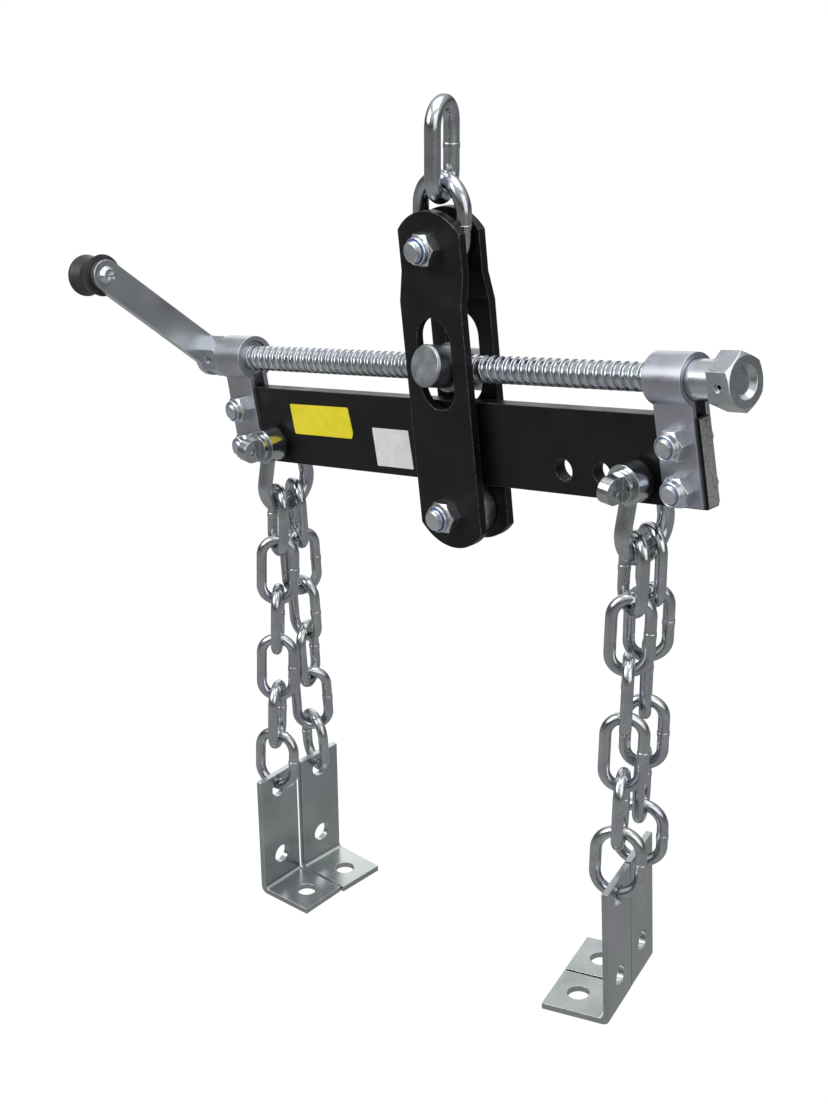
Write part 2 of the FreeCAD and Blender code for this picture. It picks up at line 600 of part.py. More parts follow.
def strap(name, way):
    """A strap bent round a sleeve, with both legs clamped on the bar."""
    outer = "sleeve_diameter / 2 + sleeve_fit + strap_thick"
    inner = "sleeve_diameter / 2 + sleeve_fit"
    start = f"{way} * strap_reach - strap_width / 2"
    longer = "strap_width + 2 * overrun"
    legs_width = "(bar_thick + 2 * strap_thick)"
    legs = block(f"{name}_legs", "strap_width", legs_width, "screw_rise - strap_inset",
                 (start, f"-{legs_width} / 2", "strap_inset"))
    loop = rod(f"{name}_loop", outer, "strap_width", (start, "0", "screw_rise"), "+x")
    eye = rod(f"{name}_eye", inner, longer, (f"{start} - overrun", "0", "screw_rise"), "+x")
    slit = block(f"{name}_slit", longer, "bar_thick", "screw_rise",
                 (f"{start} - overrun", "-bar_thick / 2", "0"))
    bores = [
        rod(f"{name}_bore_{place}", "strap_bolt_diameter / 2 + bolt_clearance",
            f"{legs_width} + 2 * overrun",
            (f"{way} * strap_reach", f"-{legs_width} / 2 - overrun", place), "+y")
        for place in ("strap_bolt_low", "strap_bolt_high")
    ]
    node(name, cut(name, fuse(f"{name}_blank", legs, loop), eye, slit, *bores), bar_frame)


def strap_fasteners():
    """Two bolts through each strap and the bar, with locking nuts in front."""
    bolts, nuts, rings = [], [], []
    grip = "(bar_thick + 2 * strap_thick)"
    for way in (-1, 1):
        for height in ("strap_bolt_low", "strap_bolt_high"):
            end = f"{'left' if way < 0 else 'right'}_{height}"
            item = bolt(end, "strap", grip)
            bolts.append(put(item, (f"{way} * strap_reach", f"{grip} / 2", height)))
            nut, ring = locking_nut(f"{end}_nut", "strap")
            nuts.append(put(nut, (f"{way} * strap_reach", f"-{grip} / 2", height), ALONG["-y"]))
            rings.append(put(ring, (f"{way} * strap_reach", f"-{grip} / 2", height), ALONG["-y"]))
    node("strap_bolts", group("strap_bolts", bolts), bar_frame)
    node("strap_nuts", group("strap_nuts", nuts), bar_frame)
    node("strap_nut_rings", group("strap_nut_rings", rings), bar_frame)


# Stations along the screw, as formulas from the bar's middle.
LEFT_STRAP_IN = "(-strap_reach + strap_width / 2)"
LEFT_STRAP_OUT = "(-strap_reach - strap_width / 2)"
RIGHT_STRAP_IN = "(strap_reach - strap_width / 2)"
RIGHT_STRAP_OUT = "(strap_reach + strap_width / 2)"
WASHER_IN = f"({LEFT_STRAP_OUT} - side_play)"
CRANK_COLLAR_IN = f"({WASHER_IN} - washer_thick)"
CRANK_COLLAR_OUT = f"({CRANK_COLLAR_IN} - crank_collar_length)"
CRANK_OUT = f"({CRANK_COLLAR_OUT} - crank_thick)"
RIGHT_SLEEVE_OUT = f"({RIGHT_STRAP_OUT} + sleeve_overhang)"
END_COLLAR_IN = f"({RIGHT_SLEEVE_OUT} + side_play)"
END_COLLAR_OUT = f"({END_COLLAR_IN} + end_collar_length)"
SCREW_RIGHT_END = f"({END_COLLAR_OUT} - end_countersink_depth)"


def screw():
    """The crank screw: one thread cut as a helical groove, and plain ends."""
    thread_start = f"({LEFT_STRAP_IN} - sleeve_inset)"
    thread_end = f"({RIGHT_STRAP_IN} + sleeve_inset)"
    thread_length = f"({thread_end} - {thread_start})"
    helix = doc.addObject("Part::Helix", "screw_helix")
    helix.Style = "New style"
    helix.SegmentLength = 1
    helix.Pitch = size.screw_lead
    helix.Radius = size.screw_diameter / 2
    helix.Height = size.bar_length
    bind(helix, Pitch="screw_lead", Height=f"{thread_length} + 2 * screw_lead", Radius="screw_diameter / 2")
    profile = doc.addObject("Sketcher::SketchObject", "screw_groove_profile")
    profile.Placement = Placement(Vector(), ALONG["-y"])
    mouth = f"screw_lead * {GROOVE_MOUTH_SHARE} / 2"
    floor = f"screw_lead * {GROOVE_FLOOR_SHARE} / 2"
    outside = "screw_diameter / 2 + thread_depth / 2"
    bottom = "screw_diameter / 2 - thread_depth"
    corners = [(outside, f"-{mouth}"), (bottom, f"-{floor}"), (bottom, floor), (outside, mouth)]
    start_shape = [Vector(2, -2, 0), Vector(1, -1, 0), Vector(1, 1, 0), Vector(2, 2, 0)]
    edges = [
        profile.addGeometry(Part.LineSegment(start, end), False)
        for start, end in zip(start_shape, start_shape[1:] + start_shape[:1])
    ]
    for edge, following in zip(edges, edges[1:] + edges[:1]):
        profile.addConstraint(Sketcher.Constraint("Coincident", edge, 2, following, 1))
    for edge, (x_formula, y_formula) in zip(edges, corners):
        limit(profile, "DistanceX", x_formula, edge, 1)
        limit(profile, "DistanceY", y_formula, edge, 1)
    doc.recompute()
    groove = doc.addObject("Part::Sweep", "screw_groove")
    groove.Sections = [profile]
    groove.Spine = (helix, [f"Edge{number}" for number in range(1, len(helix.Shape.Edges) + 1)])
    groove.Frenet = True
    groove.Solid = True
    groove.Transition = "Transformed"
    put(groove, (f"{thread_start} - screw_lead", "0", "0"), ALONG["+x"])
    blank = rod("screw_thread_blank", "screw_diameter / 2", thread_length, (thread_start, "0", "0"), "+x")
    thread = cut("screw_thread", blank, groove)
    left_end = rod("screw_left_end", "screw_end_diameter / 2", f"{thread_start} - {CRANK_OUT}",
                   (CRANK_OUT, "0", "0"), "+x")
    right_end = rod("screw_right_end", "screw_end_diameter / 2", f"{SCREW_RIGHT_END} - {thread_end}",
                    (thread_end, "0", "0"), "+x")
    node("screw", fuse("screw", thread, left_end, right_end), screw_frame)


def tube(name, outside, inside, start, length):
    """A tube along the screw."""
    blank = rod(f"{name}_blank", outside, length, (start, "0", "0"), "+x")
    bore = rod(f"{name}_bore", inside, f"({length}) + 2 * overrun", (f"{start} - overrun", "0", "0"), "+x")
    return cut(name, blank, bore)


COLLAR_BORE = "screw_end_diameter / 2 + sleeve_bore_fit"


def sleeves():
    """The sleeves that turn in the straps, and the washer under the crank collar."""
    left = tube("left_sleeve", "sleeve_diameter / 2", COLLAR_BORE, WASHER_IN,
                f"{LEFT_STRAP_IN} - sleeve_inset - {WASHER_IN}")
    node("left_sleeve", left, screw_frame)
    right_start = f"({RIGHT_STRAP_IN} + sleeve_inset)"
    right = tube("right_sleeve", "sleeve_diameter / 2", COLLAR_BORE, right_start,
                 f"{RIGHT_SLEEVE_OUT} - {right_start}")
    node("right_sleeve", right, screw_frame)
    washer = tube("thrust_washer", "washer_diameter / 2", COLLAR_BORE, CRANK_COLLAR_IN, "washer_thick")
    node("thrust_washer", washer, screw_frame)


def collars():
    """The hexagon collars on both ends of the screw, and the roll pins through them."""
    crank_hex = chamfered_hexagon("crank_collar_hex", "crank_collar_flats", "crank_collar_length")
    put(crank_hex, (CRANK_COLLAR_OUT, "0", "0"), ALONG["+x"])
    end_hex = chamfered_hexagon("end_collar_hex", "end_collar_flats", "end_collar_length")
    put(end_hex, (END_COLLAR_IN, "0", "0"), ALONG["+x"])
    sink = cone("end_collar_sink", COLLAR_BORE, "end_countersink / 2", "end_countersink_depth",
                (SCREW_RIGHT_END, "0", "0"), "+x")
    pins = []
    for name, blank, start, length, flats, extra in (
        ("crank_collar", crank_hex, CRANK_COLLAR_OUT, "crank_collar_length", "crank_collar_flats", []),
        ("end_collar", end_hex, END_COLLAR_IN, "end_collar_length", "end_collar_flats", [sink]),
    ):
        bore = rod(f"{name}_bore", COLLAR_BORE, f"{length} + 2 * overrun",
                   (f"{start} - overrun", "0", "0"), "+x")
        # A pin through the whole collar would cut the screw, so each side has a short pin.
        middle = f"{start} + {length} / 2"
        holes = []
        for side, along in (("front", "-y"), ("rear", "+y")):
            holes.append(rod(f"{name}_pin_hole_{side}", "roll_pin_diameter / 2 + thread_fit", flats,
                             (middle, "0", "0"), along))
            way = -1 if side == "front" else 1
            pin_start = f"{way} * ({COLLAR_BORE})"
            pin_length = f"({flats} / 2 - roll_pin_inset - ({COLLAR_BORE}) - bolt_clearance)"
            pin_blank = rod(f"{name}_pin_{side}_blank", "roll_pin_diameter / 2", pin_length,
                            (middle, f"{pin_start} + {way} * bolt_clearance", "0"), along)
            pin_bore = rod(f"{name}_pin_{side}_bore", "roll_pin_bore / 2", flats, (middle, "0", "0"), along)
            pins.append(cut(f"{name}_pin_{side}", pin_blank, pin_bore))
        node(name, cut(name, blank, bore, *holes, *extra), screw_frame)
    node("roll_pins", group("roll_pins", pins), screw_frame)


# The crank's own frame: the arm runs along +Z, the outer side is -X.
crank_frame = screw_frame.multiply(turned(X_AXIS, SQUARE - size.crank_angle))


def crank():
    """The crank arm, welded to its collar, and the screw that holds the knob."""
    arm = block("crank_arm_bar", "crank_thick", "crank_width", "crank_radius",
                (CRANK_OUT, "-crank_width / 2", "0"))
    hub = rod("crank_arm_hub", "crank_hub_width / 2", "crank_thick", (CRANK_OUT, "0", "0"), "+x")
    end = rod("crank_arm_end", "crank_width / 2", "crank_thick", (CRANK_OUT, "0", "crank_radius"), "+x")
    bore = rod("crank_arm_bore", COLLAR_BORE, "crank_thick + 2 * overrun",
               (f"{CRANK_OUT} - overrun", "0", "0"), "+x")
    hole = rod("crank_arm_hole", "knob_screw_diameter / 2 + thread_fit", "crank_thick + 2 * overrun",
               (f"{CRANK_OUT} - overrun", "0", "crank_radius"), "+x")
    node("crank_arm", cut("crank_arm", fuse("crank_arm_blank", arm, hub, end), bore, hole), crank_frame)

    head = cone("knob_screw_head", "knob_head_diameter / 2",
                "knob_head_diameter / 2 - knob_head_height / 2",
                "knob_head_height", (CRANK_COLLAR_OUT, "0", "crank_radius"), "+x")
    bite = "knob_gap + knob_screw_bite"
    shank = rod("knob_screw_shank", "knob_screw_diameter / 2", f"crank_thick + {bite}",
                (f"{CRANK_OUT} - ({bite})", "0", "crank_radius"), "+x")
    recess_floor = f"{CRANK_COLLAR_OUT} + knob_head_height - cross_depth"
    recess = [
        block("knob_screw_slot_across", "cross_depth + overrun", "cross_length", "cross_width",
              (recess_floor, "-cross_length / 2", "crank_radius - cross_width / 2")),
        block("knob_screw_slot_along", "cross_depth + overrun", "cross_width", "cross_length",
              (recess_floor, "-cross_width / 2", "crank_radius - cross_length / 2")),
    ]
    node("knob_screw", cut("knob_screw", fuse("knob_screw_blank", head, shank), *recess), crank_frame)


def knob():
    """The knob turns on its screw: two rims, a waist and a rounded outer end."""
    start = f"({CRANK_OUT} - knob_gap)"
    waist_place = f"knob_length * {KNOB_WAIST_SHARE}"
    inner = cone("knob_inner", "knob_diameter / 2", "knob_waist / 2", waist_place,
                 (start, "0", "crank_radius"), "-x")
    outer = cone("knob_outer", "knob_waist / 2", "knob_diameter / 2",
                 f"knob_length - {waist_place} - knob_round",
                 (f"{start} - {waist_place}", "0", "crank_radius"), "-x")
    rim = rod("knob_rim", "knob_diameter / 2 - knob_round", "knob_round",
              (f"{start} - knob_length + knob_round", "0", "crank_radius"), "-x")
    ring = doc.addObject("Part::Torus", "knob_round_ring")
    bind(ring, Radius1="knob_diameter / 2 - knob_round", Radius2="knob_round")
    put(ring, (f"{start} - knob_length + knob_round", "0", "crank_radius"), ALONG["-x"])
    bore = rod("knob_bore", "knob_screw_diameter / 2 + knob_fit", "knob_screw_bite + overrun + knob_gap",
               (f"{start} + overrun", "0", "crank_radius"), "-x")
    node("knob", cut("knob", fuse("knob_blank", inner, outer, rim, ring), bore), crank_frame)


def shackle(name, pin_name, way):
    """A bow shackle hung on the bar by its pin: returns the frame at its pin axis."""
    place = bar_frame.multVec(Vector(way * size.shackle_reach, 0, size.shackle_rise))
    frame = Placement(place, Rotation())
    bow_radius = (size.shackle_bow_width + size.shackle_wire) / 2
    bow_middle = size.shackle_inside + size.shackle_wire / 2 - bow_radius
    eye_place = (size.shackle_jaw + size.shackle_wire) / 2
    # Each leg runs from its eye along the tangent to the bow.
    eye_distance = math.hypot(eye_place, bow_middle)
    tangent_angle = math.degrees(math.atan2(bow_middle, eye_place) - math.acos(bow_radius / eye_distance))
    bow = doc.addObject("Part::Torus", f"{name}_bow")
    bind(bow, Radius1="(shackle_bow_width + shackle_wire) / 2", Radius2="shackle_wire / 2")
    bow.Angle3 = STRAIGHT + 2 * tangent_angle
    ring_on_edge = Rotation(Vector(1, 1, 1), STRAIGHT * 2 / 3)
    bow_turn = Rotation(X_AXIS, STRAIGHT - tangent_angle).multiply(ring_on_edge)
    bow_height = "(shackle_bow_width + shackle_wire) / 2 - shackle_inside - shackle_wire / 2"
    put(bow, ("0", "0", bow_height), bow_turn)
    pieces = [bow]
    for side, hand in (("front", -1), ("rear", 1)):
        leg = doc.addObject("Part::Cylinder", f"{name}_{side}_leg")
        bind(leg, Radius="shackle_wire / 2")
        leg.Height = math.sqrt(eye_distance ** 2 - bow_radius ** 2)
        put(leg, ("0", f"{hand} * (shackle_jaw + shackle_wire) / 2", "0"),
            Rotation(X_AXIS, STRAIGHT + hand * tangent_angle))
        eye = rod(f"{name}_{side}_eye", "shackle_eye_diameter / 2", "shackle_eye_thick",
                  ("0", f"{hand} * shackle_jaw / 2", "0"), "+y" if hand > 0 else "-y")
        pieces.extend([leg, eye])
    jaw = block(f"{name}_jaw", "2 * shackle_eye_diameter", "shackle_jaw", "shackle_eye_diameter",
                ("-shackle_eye_diameter", "-shackle_jaw / 2", "-shackle_eye_diameter / 2"))
    span = "(shackle_jaw + 2 * shackle_eye_thick)"
    bore = rod(f"{name}_bore", "shackle_pin_diameter / 2 + shackle_pin_fit", f"{span} + 2 * overrun",
               ("0", f"-{span} / 2 - overrun", "0"), "+y")
    node(name, cut(name, fuse(f"{name}_blank", *pieces), jaw, bore), frame)

    front = f"(-{span} / 2 - shackle_pin_fit)"
    shank = rod(f"{pin_name}_shank", "shackle_pin_diameter / 2", f"{span} / 2 + pin_tail - {front}",
                ("0", front, "0"), "+y")
    collar = rod(f"{pin_name}_collar", "pin_collar_diameter / 2", "pin_collar_thick",
                 ("0", front, "0"), "-y")
    tab_start = f"({front} - pin_collar_thick)"
    tab_middle = f"{tab_start} - pin_tab_length + pin_tab_width / 2"
    tab = block(f"{pin_name}_tab", "pin_tab_thick", "pin_tab_length - pin_tab_width / 2 + overrun",
                "pin_tab_width", ("-pin_tab_thick / 2", tab_middle, "-pin_tab_width / 2"))
    tab_end = rod(f"{pin_name}_tab_end", "pin_tab_width / 2", "pin_tab_thick",
                  ("-pin_tab_thick / 2", tab_middle, "0"), "+x")
    tab_hole = rod(f"{pin_name}_tab_hole", "pin_tab_hole / 2", "pin_tab_thick + 2 * overrun",
                   ("-pin_tab_thick / 2 - overrun", tab_middle, "0"), "+x")
    pin = cut(pin_name, fuse(f"{pin_name}_blank", shank, collar, tab, tab_end), tab_hole)
    node(pin_name, pin, frame)
    return frame


def bracket(name, frame):
    """An angle bracket: origin in its chain hole, long leg down, foot along +X."""
    body = doc.addObject("PartDesign::Body", name)
    profile = body_sketch(body, f"{name}_profile", "XZ_Plane")
    foot_bottom = "bracket_top_edge - bracket_leg"
    sketch_rectangle(profile, "-bracket_thick / 2", foot_bottom, "bracket_thick / 2", "bracket_top_edge")
    leg = pad(body, profile, "bracket_width")
    foot_profile = body_sketch(body, f"{name}_foot", "XZ_Plane")
    sketch_rectangle(foot_profile, "-bracket_thick / 2", foot_bottom, "bracket_foot - bracket_thick / 2",
                     f"{foot_bottom} + bracket_thick")
    foot = pad(body, foot_profile, "bracket_width")
    doc.recompute()
    inner = size.bracket_top_edge - size.bracket_leg + size.bracket_thick
    outer = size.bracket_top_edge - size.bracket_leg
    half = size.bracket_thick / 2

    def bend_edge(x, z):
        return [
            f"Edge{number}" for number, edge in enumerate(foot.Shape.Edges, start=1)
            if abs(edge.tangentAt(edge.FirstParameter).dot(Y_AXIS)) > 0.5
            and Vector(edge.CenterOfMass.x - x, 0, edge.CenterOfMass.z - z).Length < half / 2
        ]

    bend = body.newObject("PartDesign::Fillet", f"{name}_bend")
    bend.Base = (foot, bend_edge(half, inner))
    bend.setExpression("Radius", cells("bracket_bend"))
    body.Tip = bend
    doc.recompute()
    heel_edge = [
        f"Edge{number}" for number, edge in enumerate(bend.Shape.Edges, start=1)
        if abs(edge.tangentAt(edge.FirstParameter).dot(Y_AXIS)) > 0.5
        and Vector(edge.CenterOfMass.x + half, 0, edge.CenterOfMass.z - outer).Length < half / 2
    ]
    heel = body.newObject("PartDesign::Fillet", f"{name}_heel")
    heel.Base = (bend, heel_edge)
    heel.setExpression("Radius", cells("bracket_bend + bracket_thick / 2"))
    body.Tip = heel
    doc.recompute()
    leg_holes = body_sketch(body, f"{name}_leg_holes", "YZ_Plane")
    sketch_circle(leg_holes, "0", "0", "bracket_hole / 2")
    sketch_circle(leg_holes, "0", f"{foot_bottom} + bracket_leg_hole", "bracket_hole / 2")
    bore = body.newObject("PartDesign::Pocket", f"{name}_leg_bores")
    bore.Profile = leg_holes
    bore.Type = "Length"
    bore.SideType = "Symmetric"
    bore.setExpression("Length", cells("2 * bracket_thick"))
    body.Tip = bore
    doc.recompute()
    foot_holes = body_sketch(body, f"{name}_foot_holes", "XY_Plane")
    sketch_circle(foot_holes, "bracket_foot_hole - bracket_thick / 2", "0", "bracket_hole / 2")
    drill(body, foot_holes)
    node(name, body, frame)
    mark(f"{name}_leg_hole", frame.multiply(moved(z=outer + size.bracket_leg_hole)), X_AXIS)
    foot_hole_place = moved(x=size.bracket_foot_hole - half, z=outer + half)
    mark(f"{name}_foot_hole", frame.multiply(foot_hole_place), Z_AXIS)


def chain(side, end, shackle_frame, front):
    """Six links and a bracket below a shackle; each link hangs inside the one above it."""
    name = f"{side}_{end}"
    yaws, bracket_yaw = CHAINS[name]
    splay = getattr(size, f"{side}_splay")
    spread_axis = Rotation(Z_AXIS, getattr(size, f"{side}_splay_yaw")).multVec(X_AXIS)
    hand = -1 if front else 1
    bow_radius = (size.shackle_bow_width + size.shackle_wire) / 2
    climb = bow_radius - math.sqrt(bow_radius ** 2 - size.chain_offset ** 2)
    rise = climb + size.link_gap + size.first_link_rise
    crown = Vector(0, hand * size.chain_offset, -size.shackle_inside + rise)
    frame = (
        shackle_frame
        .multiply(Placement(crown, Rotation()))
        .multiply(turned(spread_axis, hand * splay))
    )
    top = frame.multiply(moved(z=size.chain_wire / 2))
    mark(f"{name}_link_1", top.multiply(turned(Z_AXIS, yaws[0])), X_AXIS)
    depth = 0
    for number, yaw in enumerate(yaws, start=1):
        last = number == LINKS_PER_CHAIN
        kind = "end_link" if last else "chain"
        inside = size.end_link_inside_length if last else size.chain_inside_length
        label = f"{name}_link_{number}"
        item = wire_link(label, "chain_wire", f"{kind}_inside_length", f"{kind}_inside_width")
        node(label, item, frame.multiply(moved(z=-depth - inside / 2)).multiply(turned(Z_AXIS, yaw)))
        bottom = frame.multiply(moved(z=-depth - inside - size.chain_wire / 2))
        hung = f"{name}_bracket" if last else f"{name}_link_{number + 1}"
        mark(hung, bottom.multiply(turned(Z_AXIS, yaw)), X_AXIS)
        depth += inside - size.link_gap
    # The bracket's hole hangs on the end link's wire.
    wire_middle = depth + size.link_gap + size.chain_wire / 2
    hole_middle = wire_middle + (size.bracket_hole - size.chain_wire) / 2 - size.bracket_gap
    hole_place = frame.multVec(Vector(0, 0, -hole_middle))
    lean = Rotation(Y_AXIS, getattr(size, f"{side}_bracket_lean"))
    bracket(f"{name}_bracket", Placement(hole_place, Rotation(Z_AXIS, bracket_yaw).multiply(lean)))


hook_seat = moved(z=-size.hook_link_inside_length - size.hook_link_wire / 2)
mark("hanger_link", hook_seat.multiply(turned(Z_AXIS, size.hook_link_yaw)), X_AXIS)
mark("hanger", hanger_frame, Y_AXIS)
mark("tilt", hanger_frame.multiply(moved(z=-size.bolt_spacing)), Y_AXIS)
mark("bar", bar_frame, X_AXIS)
mark("screw", screw_frame, X_AXIS)
mark("trunnion_nut", screw_frame.multiply(moved(x=size.nut_place)), X_AXIS)
crank_outside = -size.strap_reach - size.strap_width / 2 - size.side_play - size.washer_thick
crank_outside -= size.crank_collar_length + size.crank_thick
mark("knob", crank_frame.multiply(moved(x=crank_outside, z=size.crank_radius)), X_AXIS)

lifting_links()
hanger_plate("front_plate", -1)
hanger_plate("rear_plate", 1)
hanger_fasteners()
roller()
trunnion_nut()
main_bar()
strap("left_strap", -1)
strap("right_strap", 1)
strap_fasteners()
screw()
sleeves()
collars()
crank()
knob()
for side, way in (("left", -1), ("right", 1)):
    pin_frame = shackle(f"{side}_shackle", f"{side}_shackle_pin", way)
    mark(f"{side}_shackle", pin_frame, Y_AXIS)
    chain(side, "front", pin_frame, True)
    chain(side, "rear", pin_frame, False)

doc.recompute()

faults = []
for item in doc.Objects:
    if "Invalid" in item.State or "Error" in item.State:
        faults.append(f"{item.Label}: {item.State}")
for label, item in nodes.items():
    if item.Shape.isNull() or not item.Shape.isValid() or not item.Shape.Solids:
        faults.append(f"{label}: no valid solid")
if faults:
    raise RuntimeError("; ".join(faults))

os.makedirs("parts", exist_ok=True)
for label, item in nodes.items():
    item.Shape.exportStep(f"parts/{label}.step")
print(len(nodes), "sub-parts written")
for name, (point, axis) in places.items():
    print("place", name, *(round(value, 4) for value in (*point, *axis)))
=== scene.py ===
import json
import math

import bmesh
import bpy
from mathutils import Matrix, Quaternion, Vector


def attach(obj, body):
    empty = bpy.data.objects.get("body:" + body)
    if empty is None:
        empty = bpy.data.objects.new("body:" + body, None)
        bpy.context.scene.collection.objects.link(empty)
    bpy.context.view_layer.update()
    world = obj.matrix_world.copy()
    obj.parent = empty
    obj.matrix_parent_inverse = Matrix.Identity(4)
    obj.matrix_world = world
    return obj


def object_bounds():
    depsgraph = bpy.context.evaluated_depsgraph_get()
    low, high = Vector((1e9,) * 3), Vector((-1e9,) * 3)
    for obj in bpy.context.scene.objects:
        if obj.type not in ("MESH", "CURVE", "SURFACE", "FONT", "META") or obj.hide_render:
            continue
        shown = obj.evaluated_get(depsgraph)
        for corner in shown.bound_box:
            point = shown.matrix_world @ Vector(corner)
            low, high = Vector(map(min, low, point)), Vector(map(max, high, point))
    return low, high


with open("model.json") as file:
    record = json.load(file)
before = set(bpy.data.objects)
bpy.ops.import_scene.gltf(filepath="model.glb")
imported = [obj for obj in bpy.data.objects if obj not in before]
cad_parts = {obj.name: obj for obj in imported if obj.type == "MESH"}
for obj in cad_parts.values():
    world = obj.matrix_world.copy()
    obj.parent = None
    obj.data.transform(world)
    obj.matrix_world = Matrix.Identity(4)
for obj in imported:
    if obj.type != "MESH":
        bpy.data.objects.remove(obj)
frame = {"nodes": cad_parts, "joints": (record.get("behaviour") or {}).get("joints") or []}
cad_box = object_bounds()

nodes = frame["nodes"]
joints = {joint["name"]: joint for joint in frame["joints"]}
collection = bpy.context.scene.collection
MM = 0.001

# The bar's own frame, from its mesh and the way it slides.
bar_along = Vector(joints["bar_slide"]["axis"]).normalized()
bar_up = bar_along.cross(Vector((0, 1, 0)))
bar_points = [vert.co for vert in nodes["main_bar"].data.vertices]
bar_reach = [point.dot(bar_along) for point in bar_points]
bar_centre = (max(bar_reach) + min(bar_reach)) / 2
bar_half = (max(bar_reach) - min(bar_reach)) / 2
bar_foot = min(point.dot(bar_up) for point in bar_points)
bar_front = min(point.y for point in bar_points)
bar_middle = bar_along * bar_centre + bar_up * bar_foot


# Materials. Each is a small node tree in object space, so the grain moves with its piece.

BEVEL_SAMPLES = 6
# How far the rounded normal agrees with the flat one, at a full edge and on a flat.
EDGE_AGREEMENT = 0.80
FLAT_AGREEMENT = 0.99

WORN_ZINC = (0.80, 0.81, 0.82)
VIOLET_TINGE = (0.93, 0.94, 1.0)
GREEN_TINGE = (0.95, 1.0, 0.97)
# Scales of the zinc's marks, as multiples of its grain.
TINGE_SCALE = 0.16
PATCH_SCALE = 0.35
SPOT_SCALE = 3.0
PIT_SCALE = 7.0

DARK_PAINT = (0.0045, 0.0045, 0.005)
LIGHT_PAINT = (0.0085, 0.0085, 0.009)
# Light grey of bare steel. It serves as worn paint, as a painted highlight along edges and as a painted
# reflection on the bar's end faces.
BARE_STEEL_AND_HIGHLIGHT = (0.42, 0.42, 0.40)
# Depths from the bar's ends over which the paint gives way to the sawn face. The face's light grey is partly
# bare steel and partly a painted reflection.
SAWN_REFLECTION_FROM = 0.30 * MM
SAWN_REFLECTION_TO = 0.10 * MM

DARK_RUBBER = (0.014, 0.014, 0.015)
LIGHT_RUBBER = (0.030, 0.030, 0.032)
RUBBED_RUBBER = (0.06, 0.06, 0.062)
DARK_NYLON = (0.035, 0.12, 0.42)
LIGHT_NYLON = (0.07, 0.20, 0.58)
DIRT = (0.25, 0.23, 0.20)


class Shader:
    """A material whose surface is one Principled shader, with short ways to add nodes."""

    def __init__(self, name):
        self.material = bpy.data.materials.new(name)
        self.material.use_nodes = True
        self.tree = self.material.node_tree
        self.tree.nodes.clear()
        output = self.add("ShaderNodeOutputMaterial")
        self.surface = self.add("ShaderNodeBsdfPrincipled")
        self.join(self.surface.outputs[0], output.inputs["Surface"])
        self.place = self.add("ShaderNodeTexCoord").outputs["Object"]

    def add(self, kind, **settings):
        node = self.tree.nodes.new(kind)
        for key, value in settings.items():
            setattr(node, key, value)
        return node

    def join(self, source, target):
        self.tree.links.new(source, target)

    def set(self, **values):
        """Constants on the surface's own sockets."""
        for key, value in values.items():
            self.surface.inputs[key.replace("_", " ")].default_value = value

    def drive(self, **sources):
        """Node outputs that feed the surface's sockets."""
        for key, source in sources.items():
            self.join(source, self.surface.inputs[key.replace("_", " ")])

    def feed(self, value, socket):
        if hasattr(value, "links"):
            self.join(value, socket)
        elif isinstance(value, tuple):
            socket.default_value = (*value, 1)
        else:
            socket.default_value = value

    def noise(self, scale, detail=3.0, roughness=0.55):
        node = self.add("ShaderNodeTexNoise")
        node.inputs["Scale"].default_value = scale
        node.inputs["Detail"].default_value = detail
        node.inputs["Roughness"].default_value = roughness
        self.join(self.place, node.inputs["Vector"])
        return node.outputs["Fac"]

    def ramp(self, source, *stops):
        node = self.add("ShaderNodeValToRGB")
        elements = node.color_ramp.elements
        while len(elements) < len(stops):
            elements.new(0.5)
        for element, (place, colour) in zip(elements, stops):
            element.position = place
            element.color = (*colour, 1)
        self.join(source, node.inputs["Fac"])
        return node.outputs["Color"]

    def span(self, source, low, high, start=0.3, end=0.7):
        node = self.add("ShaderNodeMapRange")
        node.inputs["From Min"].default_value = start
        node.inputs["From Max"].default_value = end
        node.inputs["To Min"].default_value = low
        node.inputs["To Max"].default_value = high
        self.join(source, node.inputs["Value"])
        return node.outputs["Result"]

    def mix(self, share, first, second, blend="MIX"):
        node = self.add("ShaderNodeMix", data_type="RGBA", blend_type=blend)
        self.feed(share, node.inputs["Factor"])
        self.feed(first, node.inputs["A"])
        self.feed(second, node.inputs["B"])
        return node.outputs["Result"]

    def maths(self, operation, first, second):
        node = self.add("ShaderNodeMath", operation=operation)
        self.feed(first, node.inputs[0])
        self.feed(second, node.inputs[1])
        return node.outputs[0]

    def dot(self, first, second):
        node = self.add("ShaderNodeVectorMath", operation="DOT_PRODUCT")
        self.feed(first, node.inputs[0])
        self.feed(second, node.inputs[1])
        return node.outputs["Value"]

    def edges(self, width):
        """How near a point is to a sharp edge, from 0 on flats to 1 on the edge, and the rounded normal."""
        bevel = self.add("ShaderNodeBevel", samples=BEVEL_SAMPLES)
        bevel.inputs["Radius"].default_value = width
        rounded = bevel.outputs["Normal"]
        flat = self.add("ShaderNodeNewGeometry").outputs["Normal"]
        agreement = self.dot(rounded, flat)
        return self.span(agreement, 1.0, 0.0, EDGE_AGREEMENT, FLAT_AGREEMENT), rounded

    def bump(self, height, strength, distance, normal=None):
        node = self.add("ShaderNodeBump")
        node.inputs["Strength"].default_value = strength
        node.inputs["Distance"].default_value = distance
        self.join(height, node.inputs["Height"])
        if normal:
            self.join(normal, node.inputs["Normal"])
        self.drive(Normal=node.outputs["Normal"])


